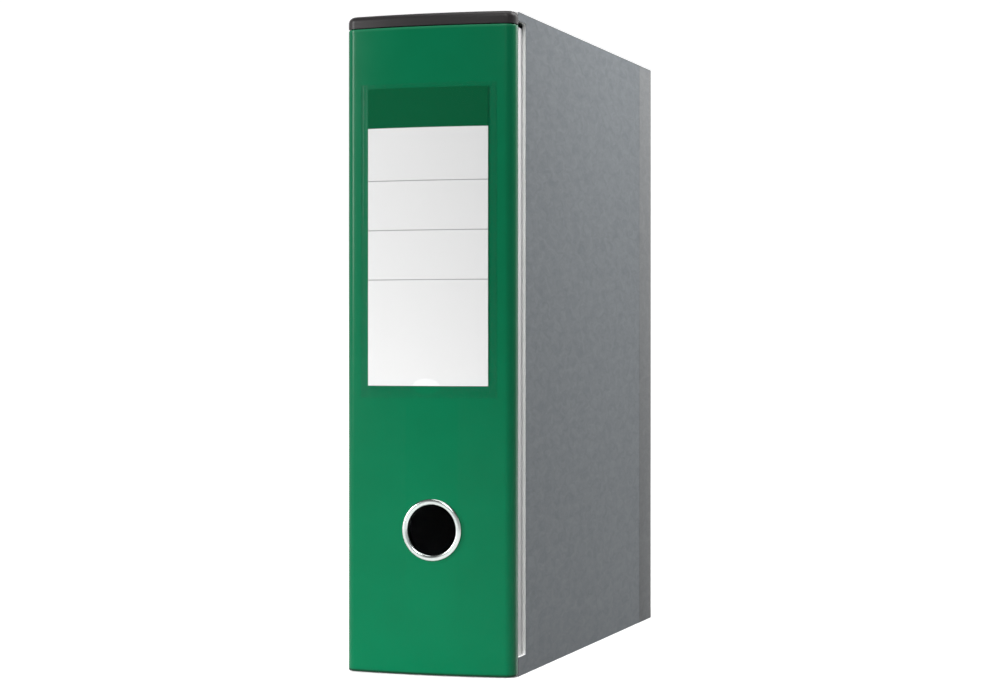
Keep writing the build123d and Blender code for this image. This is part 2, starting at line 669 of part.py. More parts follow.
# plastic clamp that grips the bar in place
with BuildPart() as compressor_clamp:
    with BuildSketch(Plane.YZ.offset(x_bar + BAR_THICKNESS)):
        with Locations((y_post, z_middle)):
            RectangleRounded(CLAMP_WIDTH, CLAMP_LENGTH, CLAMP_WIDTH / 4)
    extrude(amount=CLAMP_HEIGHT)
    fillet(compressor_clamp.faces().sort_by(Axis.X)[-1].edges(), CLAMP_HEIGHT / 4)
save(compressor_clamp, "compressor_clamp")
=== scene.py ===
"""Looks of a lever arch file that stands in its open-fronted slipcase.

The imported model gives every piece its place; this script gives each one its finish, and remakes
the thin wrapped, rolled and welded pieces whose rounded edges show.
"""
import math

import bmesh
import bpy
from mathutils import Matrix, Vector


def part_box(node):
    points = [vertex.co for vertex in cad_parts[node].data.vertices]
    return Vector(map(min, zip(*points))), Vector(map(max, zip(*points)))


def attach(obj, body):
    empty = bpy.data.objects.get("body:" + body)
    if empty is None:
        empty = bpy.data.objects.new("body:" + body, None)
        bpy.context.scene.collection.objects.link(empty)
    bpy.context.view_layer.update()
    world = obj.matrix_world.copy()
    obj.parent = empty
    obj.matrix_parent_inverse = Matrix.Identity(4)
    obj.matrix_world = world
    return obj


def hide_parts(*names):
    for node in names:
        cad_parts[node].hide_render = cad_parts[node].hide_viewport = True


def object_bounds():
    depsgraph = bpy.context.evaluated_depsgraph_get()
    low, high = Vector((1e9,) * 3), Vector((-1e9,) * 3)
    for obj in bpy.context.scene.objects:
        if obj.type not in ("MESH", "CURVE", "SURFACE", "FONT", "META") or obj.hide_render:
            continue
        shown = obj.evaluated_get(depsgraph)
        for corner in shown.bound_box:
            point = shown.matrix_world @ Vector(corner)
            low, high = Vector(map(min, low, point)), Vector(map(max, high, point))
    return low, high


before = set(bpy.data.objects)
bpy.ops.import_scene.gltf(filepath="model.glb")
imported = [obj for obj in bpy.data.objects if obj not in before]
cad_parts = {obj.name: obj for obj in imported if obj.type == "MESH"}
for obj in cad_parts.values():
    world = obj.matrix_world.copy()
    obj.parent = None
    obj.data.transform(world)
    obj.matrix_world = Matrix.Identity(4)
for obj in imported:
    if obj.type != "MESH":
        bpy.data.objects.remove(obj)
cad_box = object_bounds()
MM = 0.001

# ---- Camera ----
# A long lens, held level with the middle of the file and off to the right of its spine, so that
# the spine is nearly square on and the side of the slipcase falls away behind it.
camera = bpy.data.objects.new("camera", bpy.data.cameras.new("camera"))
bpy.context.scene.collection.objects.link(camera)
bpy.context.scene.camera = camera
camera.location = (0.4210, -1.3565, 0.1758)
camera.rotation_euler = (math.radians(90), 0, math.radians(17.498))
camera.data.lens = 87.19
camera.data.shift_y = -0.00228


# ---- Studio ----
# A seamless pale table top that sweeps up into a round wall. A tall soft key lamp stands in front on
# the left, softer ones in front, overhead and behind, a small one grazes the side of the slipcase,
# and a spot lifts the foot of the spine.
def linear(colour):
    """A screen colour such as 8A9094 as linear red, green and blue, with alpha."""
    shares = [int(colour[at:at + 2], 16) / 255 for at in (0, 2, 4)]
    return [s / 12.92 if s <= 0.04045 else ((s + 0.055) / 1.055) ** 2.4 for s in shares] + [1.0]


def add_node(finish, kind, inputs=None, **settings):
    """Add a node to a finish; inputs are values, or the sockets that feed them."""
    made = finish.node_tree.nodes.new(kind)
    for name, value in settings.items():
        setattr(made, name, value)
    for name, value in (inputs or {}).items():
        if isinstance(value, bpy.types.NodeSocket):
            finish.node_tree.links.new(value, made.inputs[name])
        else:
            made.inputs[name].default_value = value
    return made


def new_finish(name):
    """A finish with an empty node tree, and the sockets of its own-frame coordinates in metres."""
    finish = bpy.data.materials.new(name)
    finish.use_nodes = True
    finish.node_tree.nodes.clear()
    place = add_node(finish, "ShaderNodeTexCoord").outputs["Object"]
    return finish, place


def show(finish, **sockets):
    """End a finish in one surface shader with these sockets, spelled with _ for spaces."""
    inputs = {name.replace("_", " "): value for name, value in sockets.items()}
    skin = add_node(finish, "ShaderNodeBsdfPrincipled", inputs)
    add_node(finish, "ShaderNodeOutputMaterial", {"Surface": skin.outputs["BSDF"]})


def make_piece(name, mesh, finish, round_below=40):
    """An object from a bmesh, shaded round across edges that turn less than round_below degrees."""
    bmesh.ops.remove_doubles(mesh, verts=mesh.verts, dist=0.002 * MM)
    bmesh.ops.recalc_face_normals(mesh, faces=mesh.faces)
    for face in mesh.faces:
        face.smooth = True
    for edge in mesh.edges:
        edge.smooth = len(edge.link_faces) == 2 and edge.calc_face_angle(0) < math.radians(round_below)
    data = bpy.data.meshes.new(name)
    mesh.to_mesh(data)
    mesh.free()
    data.materials.append(finish)
    piece = bpy.data.objects.new(name, data)
    bpy.context.scene.collection.objects.link(piece)
    return piece


def spin_profile(profile, steps):
    """A bmesh of (radius, height) points turned round the Z axis."""
    mesh = bmesh.new()
    rows = []
    for radius, height in profile:
        angles = [2 * math.pi * step / steps for step in range(steps)]
        rows.append([mesh.verts.new((radius * math.cos(angle), radius * math.sin(angle), height))
                     for angle in angles])
    for low, high in zip(rows, rows[1:]):
        for at in range(steps):
            after = (at + 1) % steps
            mesh.faces.new((low[at], low[after], high[after], high[at]))
    return mesh


STUDIO_RADIUS = 3.4
SWEEP_RADIUS = 0.9
WALL_HEIGHT = 1.7

table_paint, place = new_finish("matt_white_painted_studio_cove")
speckle = add_node(table_paint, "ShaderNodeTexNoise", {"Vector": place, "Scale": 3.0, "Detail": 2.0})
tint = add_node(table_paint, "ShaderNodeMix", {0: speckle.outputs["Fac"], 6: linear("F3F3F3"),
                                               7: linear("F8F8F8")}, data_type="RGBA")
depth = add_node(table_paint, "ShaderNodeSeparateXYZ", {"Vector": place}).outputs["Y"]
wash = add_node(table_paint, "ShaderNodeMapRange", {"Value": depth, "From Min": -0.4, "From Max": 1.2,
                                                    "To Min": 0.2, "To Max": 0.62})
show(table_paint, Base_Color=tint.outputs[2], Roughness=0.9, Emission_Color=linear("FFFFFF"),
     Emission_Strength=wash.outputs["Result"])
cove = [(0.001, 0), (1.0, 0), (STUDIO_RADIUS - SWEEP_RADIUS, 0)]
for step in range(1, 13):
    turn = math.radians(90) * step / 12
    cove.append((STUDIO_RADIUS - SWEEP_RADIUS * (1 - math.sin(turn)),
                 SWEEP_RADIUS * (1 - math.cos(turn))))
cove.append((STUDIO_RADIUS, WALL_HEIGHT))
table = make_piece("studio_cove", spin_profile(cove, 96), table_paint)
table.visible_diffuse = False    # the cove shows in shiny pieces, but the lamps alone light them

world = bpy.data.worlds.new("soft_overhead_sky")
bpy.context.scene.world = world
world.use_nodes = True
world.node_tree.nodes["Background"].inputs["Color"].default_value = linear("FFFFFF")
world.node_tree.nodes["Background"].inputs["Strength"].default_value = 0.14
bpy.context.scene.view_settings.view_transform = "Standard"

LAMPS = {                    # where, width, height, watts
    "tall_key_lamp": ((-2.43, -1.92, 0.92), 0.85, 1.5, 76),
    "front_lamp": ((0.5, -2.2, 1.8), 0.9, 0.9, 28),
    "side_lamp": ((0.38, 0.12, 0.74), 0.3, 0.3, 3.3),
    "overhead_lamp": ((0, -0.2, 2.3), 1.2, 1.2, 18),
    "back_lamp_left": ((-1.6, 1.9, 1.5), 1.3, 1.3, 26),
    "back_lamp_right": ((1.2, 2.4, 1.5), 1.3, 1.3, 12),
}
middle = Vector((0, 0, cad_box[1].z / 2))
for name, (where, width, tall, watts) in LAMPS.items():
    lamp = bpy.data.lights.new(name, "AREA")
    lamp.shape = "RECTANGLE"
    lamp.size = width
    lamp.size_y = tall
    lamp.energy = watts
    holder = bpy.data.objects.new(name, lamp)
    bpy.context.scene.collection.objects.link(holder)
    holder.location = where
    holder.visible_camera = False
    holder.rotation_euler = (middle - holder.location).to_track_quat("-Z", "Y").to_euler()

foot_spot = bpy.data.lights.new("foot_spot", "SPOT")
foot_spot.energy = 360
foot_spot.spot_size = math.radians(16)
foot_spot.spot_blend = 1.0
foot_spot.shadow_soft_size = 0.25
foot_holder = bpy.data.objects.new("foot_spot", foot_spot)
bpy.context.scene.collection.objects.link(foot_holder)
foot_holder.location = (-0.5, -2.5, 0.55)
foot_holder.visible_glossy = False    # it lifts the foot of the spine without a glint there
foot_aim = Vector((0, cad_box[0].y, -0.2))
foot_holder.rotation_euler = (foot_aim - foot_holder.location).to_track_quat("-Z", "Y").to_euler()


# ---- Slipcase boards ----
# White-lined grey board, 1.8 mm thick, die cut and folded. Only its raw cut edges show, round the
# cut-back front of each side: off-white, with the faint layers of the pulp running along the edge.
def dress(finish, *nodes):
    """Give whole CAD nodes one finish."""
    for node in nodes:
        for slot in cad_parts[node].material_slots:
            slot.material = finish


def stretched(finish, place, along):
    """Coordinates squeezed along an axis by its share of the stretch, for long fibres and marks."""
    return add_node(finish, "ShaderNodeMapping", {"Vector": place, "Scale": along}).outputs["Vector"]


PULP_LAYER = 0.35 * MM
case_edge, place = new_finish("raw_cut_edge_of_white_lined_board")
layers = add_node(case_edge, "ShaderNodeTexNoise", {
    "Vector": stretched(case_edge, place, (1, 1, 0.06)), "Scale": 1 / PULP_LAYER, "Detail": 3.0})
edge_tint = add_node(case_edge, "ShaderNodeMix", {0: layers.outputs["Fac"], 6: linear("FAFAF8"),
                                                  7: linear("FFFFFF")}, data_type="RGBA")
edge_bump = add_node(case_edge, "ShaderNodeBump", {"Height": layers.outputs["Fac"], "Strength": 0.15,
                                                   "Distance": 0.06 * MM})
show(case_edge, Base_Color=edge_tint.outputs[2], Roughness=0.92, Specular_IOR_Level=0.2,
     Normal=edge_bump.outputs["Normal"])
dress(case_edge, "case_side_left", "case_side_right", "case_back", "case_bottom", "case_top")

# ---- Slipcase paper ----
# One sheet of printed cloud-pattern paper, a cool grey mottled lighter and darker, glued round the
# sides and back. Its folds over the board are slightly rounded and a little rubbed.
CLOUD = 4.5 * MM             # clouds and fibres lie longer round the case than up it
FIBRE = 1.1 * MM             # coarser than the real fibres, so that they show
LAP = 30.0 * MM              # the sheet's end laps over itself down the back of the right side
papers = []
for paper_name, dark, light, pale in (("grey_cloud_printed_paper", "7D8286", "8B9094", "A2A6A9"),
                                      ("grey_cloud_printed_paper_end", "838587", "8F9192", "A5A6A6")):
    mottled, place = new_finish(paper_name)
    clouds = add_node(mottled, "ShaderNodeTexNoise", {
        "Vector": stretched(mottled, place, (0.4, 0.4, 1)), "Scale": 1 / CLOUD, "Detail": 6.0,
        "Roughness": 0.62, "Distortion": 0.8})
    fibres = add_node(mottled, "ShaderNodeTexNoise", {
        "Vector": stretched(mottled, place, (0.35, 0.35, 1)), "Scale": 1 / FIBRE, "Detail": 3.0})
    cloud_share = add_node(mottled, "ShaderNodeMapRange", {"Value": clouds.outputs["Fac"],
                                                           "From Min": 0.32, "From Max": 0.68})
    cloud_tint = add_node(mottled, "ShaderNodeMix", {0: cloud_share.outputs["Result"], 6: linear(dark),
                                                     7: linear(light)}, data_type="RGBA")
    fleck = add_node(mottled, "ShaderNodeMapRange", {"Value": fibres.outputs["Fac"], "From Min": 0.6,
                                                     "From Max": 0.8, "To Max": 0.3})
    paper_tint = add_node(mottled, "ShaderNodeMix", {0: fleck.outputs["Result"],
                                                     6: cloud_tint.outputs[2], 7: linear(pale)},
                          data_type="RGBA")
    paper_bump = add_node(mottled, "ShaderNodeBump", {"Height": fibres.outputs["Fac"], "Strength": 0.35,
                                                      "Distance": 0.05 * MM})
    show(mottled, Base_Color=paper_tint.outputs[2], Roughness=0.7, Specular_IOR_Level=0.12,
         Normal=paper_bump.outputs["Normal"])
    papers.append(mottled)
cloud_paper, paper_end = papers


def sweep_section(stations, section):
    """A closed bmesh: section(station) gives one closed ring of points at each station."""
    mesh = bmesh.new()
    rings = [[mesh.verts.new(point) for point in section(station)] for station in stations]
    for near, far in zip(rings, rings[1:]):
        for at in range(len(near)):
            after = (at + 1) % len(near)
            mesh.faces.new((near[at], near[after], far[after], far[at]))
    mesh.faces.new(rings[0])
    mesh.faces.new(reversed(rings[-1]))
    return mesh


def add_block(mesh, low, high):
    """Add a box between two corners to a bmesh."""
    for vert in bmesh.ops.create_cube(mesh, size=1.0)["verts"]:
        vert.co = [low[k] + (vert.co[k] + 0.5) * (high[k] - low[k]) for k in range(3)]


def carve(piece, cutter_mesh):
    """Cut a closed bmesh out of a piece, and mark its sharp edges again."""
    cutter = make_piece("cutter", cutter_mesh, None)
    cut = piece.modifiers.new("cut", "BOOLEAN")
    cut.operation = "DIFFERENCE"
    cut.object = cutter
    shaped = bpy.data.meshes.new_from_object(piece.evaluated_get(bpy.context.evaluated_depsgraph_get()))
    piece.modifiers.clear()
    bpy.data.objects.remove(cutter)
    mesh = bmesh.new()
    mesh.from_mesh(shaped)
    for edge in mesh.edges:
        edge.smooth = len(edge.link_faces) == 2 and edge.calc_face_angle(0) < math.radians(40)
    mesh.to_mesh(piece.data)
    mesh.free()
    bpy.data.meshes.remove(shaped)


def round_corner(centre, radius, start, end, steps=5):
    """Points on an arc with their outward normals, from one angle to another in degrees."""
    turns = [math.radians(start + (end - start) * step / steps) for step in range(steps + 1)]
    return [((centre[0] + radius * math.cos(t), centre[1] + radius * math.sin(t)),
             (math.cos(t), math.sin(t))) for t in turns]


FOLD_RADIUS = 0.8 * MM
case_low, case_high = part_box("case_paper")
paper_thick = case_high.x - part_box("case_side_right")[1].x
RECESS_BACK = 13.8 * MM      # how far the side panels are cut back between their tabs
RECESS_FOOT = 10.0 * MM
RECESS_HEAD = 4.7 * MM
RECESS_CORNER = 1.2 * MM
LAP_RISE = 0.18 * MM         # the lap is one more thickness of paper
fold_x, fold_y = case_high.x - FOLD_RADIUS, case_high.y - FOLD_RADIUS
case_plan = [((case_high.x, case_low.y), (1, 0))]
case_plan += round_corner((fold_x, fold_y), FOLD_RADIUS, 0, 90)
case_plan += round_corner((-fold_x, fold_y), FOLD_RADIUS, 90, 180)
case_plan += [((case_low.x, case_low.y), (-1, 0))]


def case_section(station):
    """The paper's ring at one place round the slipcase: outer face and inner face."""
    (x, y), (across, back) = station
    inner = (x - across * paper_thick, y - back * paper_thick)
    return [(x, y, case_low.z), (x, y, case_high.z), (*inner, case_high.z), (*inner, case_low.z)]


case_wrap = make_piece("slipcase_paper_wrap", sweep_section(case_plan, case_section), cloud_paper)
recess = bmesh.new()
add_block(recess, (-0.1, case_low.y - 0.02, case_low.z + RECESS_FOOT),
          (0.1, case_low.y + RECESS_BACK, case_high.z - RECESS_HEAD))
back_edges = [e for e in recess.edges if all(v.co.y > case_low.y for v in e.verts)
              and abs(e.verts[0].co.x - e.verts[1].co.x) > 0.1]
bmesh.ops.bevel(recess, geom=back_edges, offset=RECESS_CORNER, segments=4, affect="EDGES", profile=0.5)
carve(case_wrap, recess)
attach(case_wrap, "slipcase")
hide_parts("case_paper")
dress(cloud_paper, "base_paper")

lap_mesh = bmesh.new()
add_block(lap_mesh, (case_high.x - 0.02 * MM, case_high.y - LAP, case_low.z + 0.3 * MM),
          (case_high.x + LAP_RISE, fold_y, case_high.z - 0.3 * MM))
lap_edges = [e for e in lap_mesh.edges if all(v.co.x > case_high.x for v in e.verts)]
bmesh.ops.bevel(lap_mesh, geom=lap_edges, offset=0.15 * MM, segments=3, affect="EDGES", profile=0.5)
paper_lap = make_piece("slipcase_paper_lap", lap_mesh, paper_end)
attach(paper_lap, "slipcase")

# ---- Hood ----
# Injection-moulded black polypropylene, a hollow nose over the head of the spine with a plate
# along the top of the slipcase. It has a fine spark-eroded grain, so its shine is soft.
GRAIN = 0.55 * MM            # coarser than the real 0.1 mm grain, so that it shows
SCUFF = 18.0 * MM
hood_plastic, place = new_finish("moulded_black_polypropylene_fine_grain")
grain = add_node(hood_plastic, "ShaderNodeTexNoise", {"Vector": place, "Scale": 1 / GRAIN,
                                                      "Detail": 3.0})
scuffs = add_node(hood_plastic, "ShaderNodeTexNoise", {"Vector": place, "Scale": 1 / SCUFF,
                                                       "Detail": 4.0})
scuff_share = add_node(hood_plastic, "ShaderNodeMapRange", {"Value": scuffs.outputs["Fac"],
                                                            "To Min": 0.32, "To Max": 0.46})
hood_tint = add_node(hood_plastic, "ShaderNodeMix", {0: scuffs.outputs["Fac"], 6: linear("232122"),
                                                     7: linear("302D2E")}, data_type="RGBA")
grain_bump = add_node(hood_plastic, "ShaderNodeBump", {"Height": grain.outputs["Fac"], "Strength": 0.4,
                                                       "Distance": 0.04 * MM})
show(hood_plastic, Base_Color=hood_tint.outputs[2], Roughness=scuff_share.outputs["Result"],
     Specular_IOR_Level=0.22, Normal=grain_bump.outputs["Normal"])
dress(hood_plastic, "top_hood", "lever_grip", "compressor_clamp")

# ---- Spine board and linings ----
# Dense grey board, pressed damp into the spine's bow and die cut flat for the covers, so it looks
# dull and flecked. It is lined inside with uncoated paper, whose long fibres give a soft matt grey.
PULP_FLECK = 1.6 * MM
LINT = 0.9 * MM
board_pulp, place = new_finish("solid_grey_board_pressed_pulp")
pulp = add_node(board_pulp, "ShaderNodeTexNoise", {"Vector": place, "Scale": 1 / PULP_FLECK,
                                                   "Detail": 6.0})
pulp_tint = add_node(board_pulp, "ShaderNodeMix", {0: pulp.outputs["Fac"], 6: linear("7D7A74"),
                                                   7: linear("A29E96")}, data_type="RGBA")
show(board_pulp, Base_Color=pulp_tint.outputs[2], Roughness=0.95, Specular_IOR_Level=0.2)
dress(board_pulp, "spine_board", "front_cover_board", "back_cover_board")

lining, place = new_finish("uncoated_grey_lining_paper")
lint = add_node(lining, "ShaderNodeTexNoise", {"Vector": stretched(lining, place, (1, 1, 0.3)),
                                               "Scale": 1 / LINT, "Detail": 4.0})
lint_tint = add_node(lining, "ShaderNodeMix", {0: lint.outputs["Fac"], 6: linear("8B8D90"),
                                               7: linear("A6A8AA")}, data_type="RGBA")
lint_bump = add_node(lining, "ShaderNodeBump", {"Height": lint.outputs["Fac"], "Strength": 0.4,
                                                "Distance": 0.04 * MM})
show(lining, Base_Color=lint_tint.outputs[2], Roughness=0.9, Specular_IOR_Level=0.25,
     Normal=lint_bump.outputs["Normal"])
dress(lining, "spine_lining", "front_cover_lining", "back_cover_lining")

# ---- Spine foil ----
# Green polypropylene foil, embossed with a fine linen, drawn tight over the bowed board and folded
# in at its head, foot and rear edges. Its top fold has a painted highlight, and its foot painted shade.
LINEN = 1.1 * MM             # coarser than the real 0.5 mm threads, so that they show
SLUB = 2.2 * MM
BLOOM = 24.0 * MM
# Bands of painted highlight at the top fold and painted shade at the foot:
PAINTED_TOP_HIGHLIGHT_DEPTH = 1.8 * MM
PAINTED_FOOT_SHADE_TOP = 1.7 * MM
PAINTED_FOOT_SHADE_FULL = 0.9 * MM
foil_low, foil_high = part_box("spine_foil")
foil, place = new_finish("green_polypropylene_foil_linen_embossed")
axes = add_node(foil, "ShaderNodeSeparateXYZ", {"Vector": place}).outputs
round_spine = add_node(foil, "ShaderNodeMath", {0: axes["X"], 1: axes["Y"]}, operation="SUBTRACT")
threads = []
for run in (round_spine.outputs["Value"], axes["Z"]):
    turns = add_node(foil, "ShaderNodeMath", {0: run, 1: 2 * math.pi / LINEN}, operation="MULTIPLY")
    threads.append(add_node(foil, "ShaderNodeMath", {0: turns.outputs["Value"]}, operation="SINE"))
weave = add_node(foil, "ShaderNodeMath", {0: threads[0].outputs["Value"],
                                          1: threads[1].outputs["Value"]}, operation="MULTIPLY")
slubs = add_node(foil, "ShaderNodeTexNoise", {"Vector": place, "Scale": 1 / SLUB, "Detail": 3.0})
linen = add_node(foil, "ShaderNodeMath", {0: weave.outputs["Value"], 1: slubs.outputs["Fac"]},
                 operation="MULTIPLY")
linen_bump = add_node(foil, "ShaderNodeBump", {"Height": linen.outputs["Value"], "Strength": 0.25,
                                               "Distance": 0.03 * MM})
bloom = add_node(foil, "ShaderNodeTexNoise", {"Vector": place, "Scale": 1 / BLOOM, "Detail": 4.0})
foil_tint = add_node(foil, "ShaderNodeMix", {0: bloom.outputs["Fac"], 6: linear("006943"),
                                             7: linear("00714A")}, data_type="RGBA")
# Painted highlight: a paler green painted down from the top fold, standing in for its shine.
painted_highlight_mask = add_node(foil, "ShaderNodeMapRange", {"Value": axes["Z"], "From Min": foil_high.z - PAINTED_TOP_HIGHLIGHT_DEPTH,
                                            "From Max": foil_high.z, "To Max": 0.35})
foil_with_painted_highlight = add_node(foil, "ShaderNodeMix", {0: painted_highlight_mask.outputs["Result"], 6: foil_tint.outputs[2],
                                          7: linear("4F9C78")}, data_type="RGBA")
# Painted shade: a near-black green painted along the foot, standing in for the shadow under it.
painted_shade_mask = add_node(foil, "ShaderNodeMapRange", {"Value": axes["Z"], "From Min": foil_low.z + PAINTED_FOOT_SHADE_TOP,
                                              "From Max": foil_low.z + PAINTED_FOOT_SHADE_FULL, "To Max": 0.85})
foil_with_painted_shade = add_node(foil, "ShaderNodeMix", {0: painted_shade_mask.outputs["Result"], 6: foil_with_painted_highlight.outputs[2],
                                          7: linear("0C2A1C")}, data_type="RGBA")
gloss = add_node(foil, "ShaderNodeMapRange", {"Value": bloom.outputs["Fac"], "To Min": 0.18,
                                              "To Max": 0.25})
show(foil, Base_Color=foil_with_painted_shade.outputs[2], Roughness=gloss.outputs["Result"], Specular_IOR_Level=0.1,
     Normal=linen_bump.outputs["Normal"])

SPINE_BOW = 4.0 * MM
SPINE_CORNER = 6.0 * MM
FOIL_THICK = 0.25 * MM
BOARD_THICK = 2.0 * MM
TURN_IN = 15.0 * MM
wall = FOIL_THICK + BOARD_THICK
half = foil_high.x
bow_radius = (half ** 2 + SPINE_BOW ** 2) / (2 * SPINE_BOW)
bow_middle = foil_low.y + bow_radius


def bow_y(x, proud=0.0):
    """Where the bowed front of the spine lies at x, or a face that stands proud of it."""
    return bow_middle - math.sqrt((bow_radius + proud) ** 2 - x ** 2)


corner_x = half - SPINE_CORNER
corner_y = bow_y(corner_x, -SPINE_CORNER)
corner_turn = math.degrees(math.atan2(corner_y - bow_middle, corner_x))
spine_plan = [((half, foil_high.y), (1, 0))]
spine_plan += round_corner((corner_x, corner_y), SPINE_CORNER, 0, corner_turn, 14)
spine_plan += round_corner((0, bow_middle), bow_radius, corner_turn, -180 - corner_turn, 60)[1:-1]
spine_plan += round_corner((-corner_x, corner_y), SPINE_CORNER, -180 - corner_turn, -180, 14)
spine_plan += [((-half, foil_high.y), (-1, 0))]


def fold_ring(depth, thick, low, high, turn_in, radius):
    """A thin sheet's section as (depth, height): up the face, folded over both ends of a board."""
    def side(inset):
        bend = radius - inset
        near, far, foot, head = inset, depth - inset, low + inset, high - inset
        points = [(far, low + turn_in)]
        for centre, start in (((far - bend, foot + bend), 0), ((near + bend, foot + bend), -90),
                              ((near + bend, head - bend), -180), ((far - bend, head - bend), -270)):
            points += [point for point, _ in round_corner(centre, bend, start, start - 90, 4)]
        return points + [(far, high - turn_in)]
    return side(0) + side(thick)[::-1]


foil_ring = fold_ring(wall + FOIL_THICK, FOIL_THICK, foil_low.z, foil_high.z, TURN_IN, FOLD_RADIUS)


def foil_section(station):
    """The foil's section where the spine's outline has this point and outward normal."""
    (x, y), (across, back) = station
    return [(x - across * depth, y - back * depth, z) for depth, z in foil_ring]


foil_wrap = make_piece("spine_foil_wrap", sweep_section(spine_plan, foil_section), foil)
ring_low, ring_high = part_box("finger_ring")
ring_at = (ring_low + ring_high) / 2
SLEEVE_RADIUS = 14.1 * MM


def bar_along_y(radius_x, radius_z, where, reach):
    """A closed round or oval bar along Y, as a cutter."""
    bar = bmesh.new()
    bmesh.ops.create_cone(bar, cap_ends=True, segments=96, radius1=1, radius2=1, depth=reach)
    for vert in bar.verts:
        x, y, z = vert.co
        vert.co = (where.x + x * radius_x, where.y + z, where.z + y * radius_z)
    return bar


carve(foil_wrap, bar_along_y(SLEEVE_RADIUS, SLEEVE_RADIUS, ring_at, 0.05))
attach(foil_wrap, "file")
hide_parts("spine_foil")

rear_folds = bmesh.new()
for side in (-1, 1):
    ends = sorted((side * half, side * (half - wall)))
    add_block(rear_folds, (ends[0], foil_high.y - FOIL_THICK, foil_low.z + FOLD_RADIUS),
              (ends[1], foil_high.y, foil_high.z - FOLD_RADIUS))
rear_foil = make_piece("spine_foil_rear_folds", rear_folds, foil)
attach(rear_foil, "file")

# ---- Label card ----
# A printed card insert: matt white, with a dark green head and three thin grey writing rules. Its
# print is plain, with no lettering.
HEAD_DEPTH = 21.0 * MM
FIRST_RULE = 49.0 * MM
RULE_PITCH = 26.2 * MM
RULE_THICK = 0.5 * MM
CARD_FIBRE = 0.8 * MM        # coarser than the real fibres, so that they show
card_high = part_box("label_card")[1]
card, place = new_finish("matt_printed_card")
height = add_node(card, "ShaderNodeSeparateXYZ", {"Vector": place}).outputs["Z"]
card_grain = add_node(card, "ShaderNodeTexNoise", {"Vector": place, "Scale": 1 / CARD_FIBRE,
                                                   "Detail": 4.0})
printed = add_node(card, "ShaderNodeMix", {0: card_grain.outputs["Fac"], 6: linear("F1F1F1"),
                                           7: linear("F8F8F8")}, data_type="RGBA").outputs[2]
for rule in range(3):
    rule_height = card_high.z - FIRST_RULE - rule * RULE_PITCH
    on_rule = add_node(card, "ShaderNodeMath", {0: height, 1: rule_height, 2: RULE_THICK / 2},
                       operation="COMPARE")
    printed = add_node(card, "ShaderNodeMix", {0: on_rule.outputs["Value"], 6: printed,
                                               7: linear("AFAFAF")}, data_type="RGBA").outputs[2]
on_head = add_node(card, "ShaderNodeMath", {0: height, 1: card_high.z - HEAD_DEPTH},
                   operation="GREATER_THAN")
printed = add_node(card, "ShaderNodeMix", {0: on_head.outputs["Value"], 6: printed, 7: linear("005E39")},
                   data_type="RGBA").outputs[2]
card_bump = add_node(card, "ShaderNodeBump", {"Height": card_grain.outputs["Fac"], "Strength": 0.2,
                                              "Distance": 0.02 * MM})
show(card, Base_Color=printed, Roughness=0.8, Specular_IOR_Level=0.05,
     Normal=card_bump.outputs["Normal"])
dress(card, "label_card")

# ---- Label pocket ----
# Clear polypropylene film, 0.2 mm, welded flat to the foil down both sides and along its sill and
# lifted over the card. Its faint ripple gives a broken shine, and the pressed welds look a little
# cloudy. A thumb cut in the sill lets the card be pushed up.
FILM_THICK = 0.2 * MM
FILM_LIFT = 0.86 * MM
SEAM = 1.5 * MM
SEAM_RISE = 2.2 * MM
SILL = 6.0 * MM
THUMB_ACROSS = 15.2 * MM
THUMB_DEEP = 8.4 * MM
RIPPLE = 9.0 * MM
film, place = new_finish("clear_polypropylene_film")
ripple = add_node(film, "ShaderNodeTexNoise", {"Vector": stretched(film, place, (1, 1, 0.3)),
                                               "Scale": 1 / RIPPLE, "Detail": 2.0})
ripple_bump = add_node(film, "ShaderNodeBump", {"Height": ripple.outputs["Fac"], "Strength": 0.3,
                                                "Distance": 0.1 * MM})
pocket_low, pocket_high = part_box("label_pocket")
sides = add_node(film, "ShaderNodeSeparateXYZ", {"Vector": place}).outputs
to_side = add_node(film, "ShaderNodeMath", {0: sides["X"]}, operation="ABSOLUTE")
on_side = add_node(film, "ShaderNodeMapRange", {"Value": to_side.outputs["Value"],
                                                "From Min": pocket_high.x - SEAM - SEAM_RISE,
                                                "From Max": pocket_high.x - SEAM})
on_sill = add_node(film, "ShaderNodeMapRange", {"Value": sides["Z"], "From Min": pocket_low.z + SILL,
                                                "From Max": pocket_low.z + SILL - 1.5 * MM})
on_weld = add_node(film, "ShaderNodeMath", {0: on_side.outputs["Result"], 1: on_sill.outputs["Result"]},
                   operation="MAXIMUM")
clouding = add_node(film, "ShaderNodeMapRange", {"Value": on_weld.outputs["Value"], "To Min": 0.03,
                                                 "To Max": 0.05})
show(film, Base_Color=linear("2A3631"), Roughness=0.16, IOR=1.49, Alpha=clouding.outputs["Result"],
     Normal=ripple_bump.outputs["Normal"])


def film_lift(x, z):
    """How far the inside of the film stands off the foil at a place on the pocket."""
    def rise(distance):
        share = min(max(distance / SEAM_RISE, 0), 1)
        return share * share * (3 - 2 * share)
    return FILM_LIFT * rise(pocket_high.x - SEAM - abs(x)) * rise(z - pocket_low.z - SILL + SEAM)


def spread(low, high, steps, fine):
    """Places from low to high, even, with a few more within fine of each end."""
    inner = [low + (high - low) * step / steps for step in range(steps + 1)]
    extra = [fine * step / 8 for step in range(1, 8)]
    return sorted({*inner, *(low + e for e in extra), *(high - e for e in extra)})


def film_section(x):
    """The film's section at x: down its outer face and back up its inner one."""
    heights = spread(pocket_low.z, pocket_high.z, 40, SILL + SEAM_RISE)
    outer = [(x, bow_y(x, film_lift(x, z) + FILM_THICK), z) for z in reversed(heights)]
    inner = [(x, bow_y(x, film_lift(x, z)), z) for z in heights]
    return outer + inner


